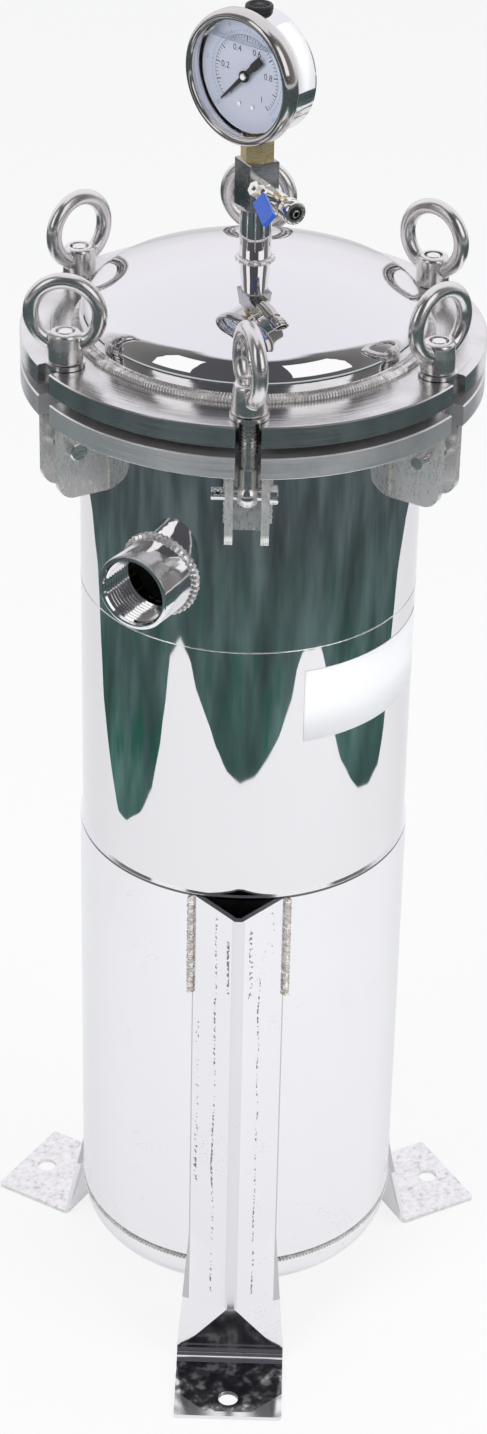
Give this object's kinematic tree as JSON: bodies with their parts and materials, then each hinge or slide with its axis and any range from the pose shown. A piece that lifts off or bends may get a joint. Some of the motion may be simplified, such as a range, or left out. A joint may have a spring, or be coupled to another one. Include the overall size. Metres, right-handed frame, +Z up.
{
  "type": "bag filter housing",
  "caption": "Free-standing round steel filter housing with a swing-bolt lid, pressure gauge, vent valve, side inlet, rear outlet and folded legs.",
  "frame": {"origin": "on the vessel axis at floor level", "axes": "+Z up along the vessel axis; the front leg and the front swing bolt lie on -Y; the inlet points 30 degrees to the left of -Y seen from the front"},
  "size_m": [0.3578, 0.3323, 0.9545],
  "materials": {
    "shell_steel": "mirror polished stainless steel",
    "flange_steel": "machined and brushed stainless steel",
    "cast_steel": "tumbled stainless casting",
    "inner_steel": "pickled stainless steel",
    "leg_steel": "bright folded stainless sheet",
    "bolt_steel": "bright turned stainless steel",
    "block_steel": "ground stainless bar",
    "gauge_steel": "bright pressed stainless steel",
    "nickel_plate": "nickel plated brass",
    "brass": "machined brass",
    "black_rubber": "matte black",
    "clear_glass": "clear",
    "dial_white": "white enamel",
    "pointer_black": "black enamel",
    "seat_plastic": "white fluoropolymer",
    "blue_plastic": "blue dipped cover",
    "bag_plastic": "white polypropylene",
    "felt": "white needle felt"
  },
  "bodies": {
    "root": {"main_shell": "shell_steel", "upper_shell": "shell_steel", "lower_sleeve": "shell_steel", "bottom_head": "shell_steel", "body_flange": "flange_steel", "lid_flange": "flange_steel", "lid_head": "shell_steel", "lid_gasket": "black_rubber", "inlet_socket": "cast_steel", "outlet_socket": "cast_steel", "basket_seat": "inner_steel", "basket_seal": "black_rubber", "filter_basket": "inner_steel", "filter_bag": "felt", "bag_ring": "bag_plastic", "lid_stem": "shell_steel", "gauge_block": "block_steel", "gauge_connector": "brass", "gauge_case": "gauge_steel", "gauge_bezel": "gauge_steel", "gauge_window": "clear_glass", "gauge_dial": "dial_white", "gauge_movement": "brass", "bourdon_tube": "brass", "gauge_fill_plug": "black_rubber", "valve_body": "nickel_plate", "valve_seats": "seat_plastic", "outlet_nut": "nickel_plate", "bolt_lugs": "flange_steel", "clevis_pins": "bolt_steel", "split_pins": "bolt_steel", "leg_front": "leg_steel", "leg_right": "leg_steel", "leg_left": "leg_steel"},
    "vent_lever": {"valve_ball": "nickel_plate", "valve_stem": "nickel_plate", "valve_lever": "nickel_plate", "lever_sleeve": "blue_plastic", "lever_nut": "nickel_plate"},
    "gauge_needle": {"gauge_pointer": "pointer_black"},
    "bolt_1": {"swing_bolt_1": "bolt_steel"},
    "washer_1": {"nut_washer_1": "cast_steel"},
    "nut_1": {"eye_nut_1": "cast_steel"},
    "bolt_2": {"swing_bolt_2": "bolt_steel"},
    "washer_2": {"nut_washer_2": "cast_steel"},
    "nut_2": {"eye_nut_2": "cast_steel"},
    "bolt_3": {"swing_bolt_3": "bolt_steel"},
    "washer_3": {"nut_washer_3": "cast_steel"},
    "nut_3": {"eye_nut_3": "cast_steel"},
    "bolt_4": {"swing_bolt_4": "bolt_steel"},
    "washer_4": {"nut_washer_4": "cast_steel"},
    "nut_4": {"eye_nut_4": "cast_steel"},
    "bolt_5": {"swing_bolt_5": "bolt_steel"},
    "washer_5": {"nut_washer_5": "cast_steel"},
    "nut_5": {"eye_nut_5": "cast_steel"},
    "bolt_6": {"swing_bolt_6": "bolt_steel"},
    "washer_6": {"nut_washer_6": "cast_steel"},
    "nut_6": {"eye_nut_6": "cast_steel"}
  },
  "joints": [
    {"name": "bolt_swing_1", "type": "hinge", "parent": "root", "child": "bolt_1", "pos_m": [0, -0.131, 0.694], "axis": [1, 0, 0], "range_deg": [0, 95]},
    {"name": "nut_climb_1", "type": "slide", "parent": "bolt_1", "child": "washer_1", "axis": [0, 0, 1], "range_m": [0, 0.017]},
    {"name": "nut_turn_1", "type": "hinge", "parent": "washer_1", "child": "nut_1", "pos_m": [0, -0.131, 0.758], "axis": [0, 0, 1], "continuous": true},
    {"name": "bolt_swing_2", "type": "hinge", "parent": "root", "child": "bolt_2", "pos_m": [0.11345, -0.0655, 0.694], "axis": [0.5, 0.866, 0], "range_deg": [0, 95]},
    {"name": "nut_climb_2", "type": "slide", "parent": "bolt_2", "child": "washer_2", "axis": [0, 0, 1], "range_m": [0, 0.017]},
    {"name": "nut_turn_2", "type": "hinge", "parent": "washer_2", "child": "nut_2", "pos_m": [0.11345, -0.0655, 0.758], "axis": [0, 0, 1], "continuous": true},
    {"name": "bolt_swing_3", "type": "hinge", "parent": "root", "child": "bolt_3", "pos_m": [0.11345, 0.0655, 0.694], "axis": [-0.5, 0.866, 0], "range_deg": [0, 95]},
    {"name": "nut_climb_3", "type": "slide", "parent": "bolt_3", "child": "washer_3", "axis": [0, 0, 1], "range_m": [0, 0.017]},
    {"name": "nut_turn_3", "type": "hinge", "parent": "washer_3", "child": "nut_3", "pos_m": [0.11345, 0.0655, 0.758], "axis": [0, 0, 1], "continuous": true},
    {"name": "bolt_swing_4", "type": "hinge", "parent": "root", "child": "bolt_4", "pos_m": [0, 0.131, 0.694], "axis": [-1, 0, 0], "range_deg": [0, 95]},
    {"name": "nut_climb_4", "type": "slide", "parent": "bolt_4", "child": "washer_4", "axis": [0, 0, 1], "range_m": [0, 0.017]},
    {"name": "nut_turn_4", "type": "hinge", "parent": "washer_4", "child": "nut_4", "pos_m": [0, 0.131, 0.758], "axis": [0, 0, 1], "continuous": true},
    {"name": "bolt_swing_5", "type": "hinge", "parent": "root", "child": "bolt_5", "pos_m": [-0.11345, 0.0655, 0.694], "axis": [-0.5, -0.866, 0], "range_deg": [0, 95]},
    {"name": "nut_climb_5", "type": "slide", "parent": "bolt_5", "child": "washer_5", "axis": [0, 0, 1], "range_m": [0, 0.017]},
    {"name": "nut_turn_5", "type": "hinge", "parent": "washer_5", "child": "nut_5", "pos_m": [-0.11345, 0.0655, 0.758], "axis": [0, 0, 1], "continuous": true},
    {"name": "bolt_swing_6", "type": "hinge", "parent": "root", "child": "bolt_6", "pos_m": [-0.11345, -0.0655, 0.694], "axis": [0.5, -0.866, 0], "range_deg": [0, 95]},
    {"name": "nut_climb_6", "type": "slide", "parent": "bolt_6", "child": "washer_6", "axis": [0, 0, 1], "range_m": [0, 0.017]},
    {"name": "nut_turn_6", "type": "hinge", "parent": "washer_6", "child": "nut_6", "pos_m": [-0.11345, -0.0655, 0.758], "axis": [0, 0, 1], "continuous": true},
    {"name": "vent_turn", "type": "hinge", "parent": "root", "child": "vent_lever", "pos_m": [0.01225, -0.02122, 0.838], "axis": [-0.718, -0.4145, 0.5592], "range_deg": [-70, 20]},
    {"name": "pointer_turn", "type": "hinge", "parent": "root", "child": "gauge_needle", "pos_m": [-0.00771, -0.00919, 0.912], "axis": [0.6428, 0.766, 0], "range_deg": [0, 270]}
  ],
  "couplings": [
    {"joint": "nut_climb_1", "follows": "bolt_swing_1", "m_per_rad": 0.01},
    {"joint": "nut_climb_2", "follows": "bolt_swing_2", "m_per_rad": 0.01},
    {"joint": "nut_climb_3", "follows": "bolt_swing_3", "m_per_rad": 0.01},
    {"joint": "nut_climb_4", "follows": "bolt_swing_4", "m_per_rad": 0.01},
    {"joint": "nut_climb_5", "follows": "bolt_swing_5", "m_per_rad": 0.01},
    {"joint": "nut_climb_6", "follows": "bolt_swing_6", "m_per_rad": 0.01}
  ]
}
